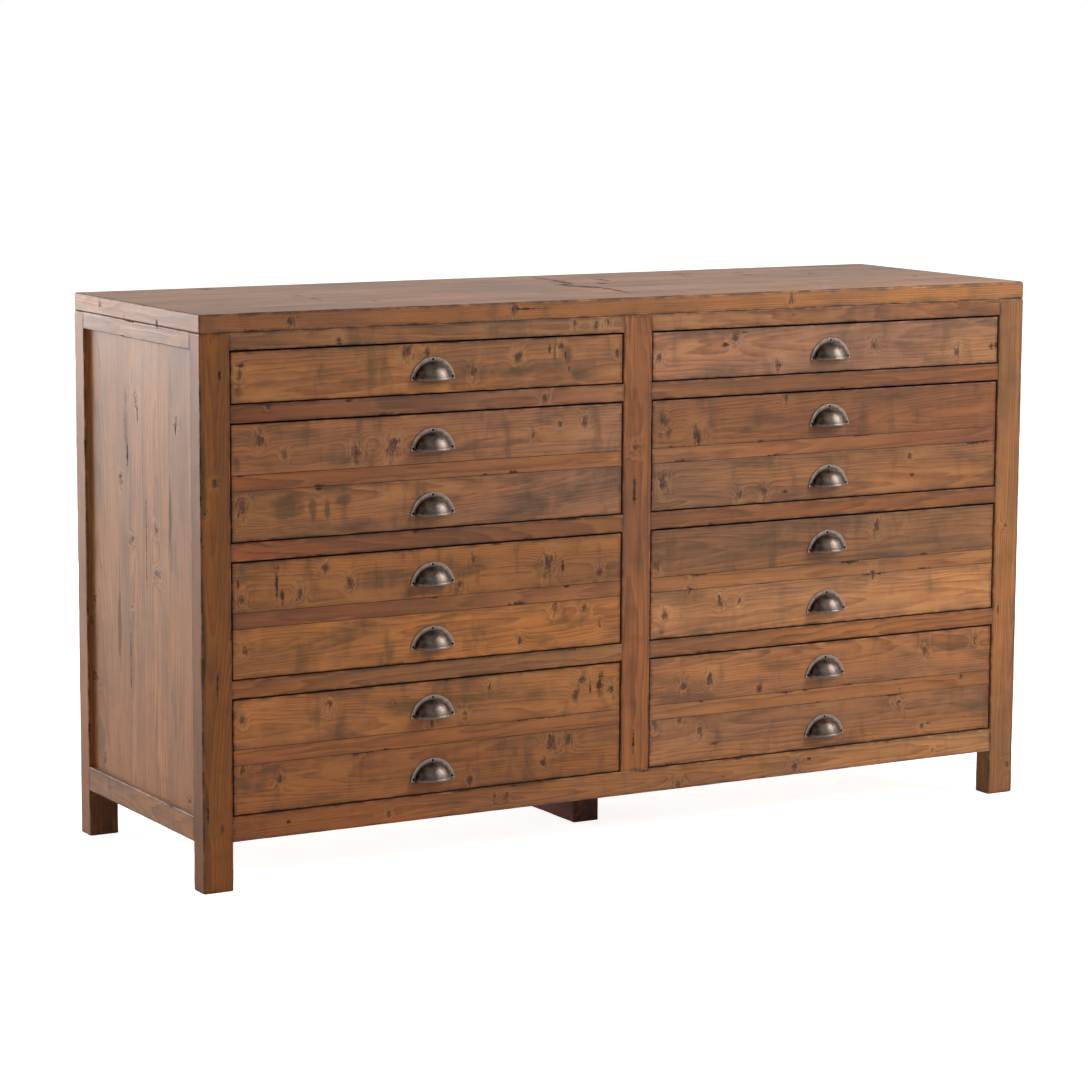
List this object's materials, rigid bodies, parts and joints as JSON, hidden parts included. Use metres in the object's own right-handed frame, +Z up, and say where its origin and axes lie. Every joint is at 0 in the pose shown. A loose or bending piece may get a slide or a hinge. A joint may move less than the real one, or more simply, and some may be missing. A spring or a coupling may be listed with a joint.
{
  "type": "chest of drawers",
  "caption": "Long, low reclaimed-pine chest on short legs, with two columns of inset drawers, false rails across the deep fronts and half-round cup pulls.",
  "frame": {"origin": "centre of the overall footprint (cabinet and pulls) on the floor", "axes": "+X to the right along the long front as one faces it, +Y from the front to the back, +Z up"},
  "size_m": [1.6, 0.5274, 0.925],
  "materials": {
    "frame_pine": "waxed reclaimed pine, worn",
    "top_pine": "waxed reclaimed pine, worn",
    "drawer_front_pine": "waxed reclaimed pine with knots",
    "red_pine_rails": "waxed reclaimed pine, redder",
    "panel_pine": "waxed reclaimed pine boards",
    "plain_pine": "planed, unfinished pine",
    "antique_bronze": "cast, darkened and rubbed"
  },
  "bodies": {
    "carcass": {"back_bottom_rail": "frame_pine", "back_top_rail": "frame_pine", "centre_bearer": "plain_pine", "centre_foot": "frame_pine", "centre_partition": "plain_pine", "drawer_guides": "plain_pine", "drawer_runners": "plain_pine", "drawer_stops": "plain_pine", "front_bottom_rail": "frame_pine", "front_centre_stile": "frame_pine", "front_left_post": "frame_pine", "front_right_post": "frame_pine", "front_top_rails": "red_pine_rails", "left_back_panel": "panel_pine", "left_divider_rails": "red_pine_rails", "left_side_bottom_rail": "frame_pine", "left_side_panel": "panel_pine", "left_side_top_rail": "frame_pine", "rear_centre_stile": "frame_pine", "rear_left_post": "frame_pine", "rear_right_post": "frame_pine", "right_back_panel": "panel_pine", "right_divider_rails": "red_pine_rails", "right_side_bottom_rail": "frame_pine", "right_side_panel": "panel_pine", "right_side_top_rail": "frame_pine", "top_kickers": "plain_pine", "top_panel": "top_pine", "web_back_rails": "plain_pine"},
    "left_drawer_1": {"left_drawer_1_box": "plain_pine", "left_drawer_1_front": "drawer_front_pine", "left_drawer_1_pulls": "antique_bronze"},
    "left_drawer_2": {"left_drawer_2_box": "plain_pine", "left_drawer_2_false_rail": "red_pine_rails", "left_drawer_2_front": "drawer_front_pine", "left_drawer_2_pulls": "antique_bronze"},
    "left_drawer_3": {"left_drawer_3_box": "plain_pine", "left_drawer_3_false_rail": "red_pine_rails", "left_drawer_3_front": "drawer_front_pine", "left_drawer_3_pulls": "antique_bronze"},
    "left_drawer_4": {"left_drawer_4_box": "plain_pine", "left_drawer_4_false_rail": "red_pine_rails", "left_drawer_4_front": "drawer_front_pine", "left_drawer_4_pulls": "antique_bronze"},
    "right_drawer_1": {"right_drawer_1_box": "plain_pine", "right_drawer_1_front": "drawer_front_pine", "right_drawer_1_pulls": "antique_bronze"},
    "right_drawer_2": {"right_drawer_2_box": "plain_pine", "right_drawer_2_false_rail": "red_pine_rails", "right_drawer_2_front": "drawer_front_pine", "right_drawer_2_pulls": "antique_bronze"},
    "right_drawer_3": {"right_drawer_3_box": "plain_pine", "right_drawer_3_false_rail": "red_pine_rails", "right_drawer_3_front": "drawer_front_pine", "right_drawer_3_pulls": "antique_bronze"},
    "right_drawer_4": {"right_drawer_4_box": "plain_pine", "right_drawer_4_false_rail": "red_pine_rails", "right_drawer_4_front": "drawer_front_pine", "right_drawer_4_pulls": "antique_bronze"}
  },
  "joints": [
    {"name": "left_drawer_1_slide", "type": "slide", "parent": "carcass", "child": "left_drawer_1", "axis": [0, -1, 0], "range_m": [0, 0.3]},
    {"name": "left_drawer_2_slide", "type": "slide", "parent": "carcass", "child": "left_drawer_2", "axis": [0, -1, 0], "range_m": [0, 0.3]},
    {"name": "left_drawer_3_slide", "type": "slide", "parent": "carcass", "child": "left_drawer_3", "axis": [0, -1, 0], "range_m": [0, 0.3]},
    {"name": "left_drawer_4_slide", "type": "slide", "parent": "carcass", "child": "left_drawer_4", "axis": [0, -1, 0], "range_m": [0, 0.3]},
    {"name": "right_drawer_1_slide", "type": "slide", "parent": "carcass", "child": "right_drawer_1", "axis": [0, -1, 0], "range_m": [0, 0.3]},
    {"name": "right_drawer_2_slide", "type": "slide", "parent": "carcass", "child": "right_drawer_2", "axis": [0, -1, 0], "range_m": [0, 0.3]},
    {"name": "right_drawer_3_slide", "type": "slide", "parent": "carcass", "child": "right_drawer_3", "axis": [0, -1, 0], "range_m": [0, 0.3]},
    {"name": "right_drawer_4_slide", "type": "slide", "parent": "carcass", "child": "right_drawer_4", "axis": [0, -1, 0], "range_m": [0, 0.3]}
  ]
}
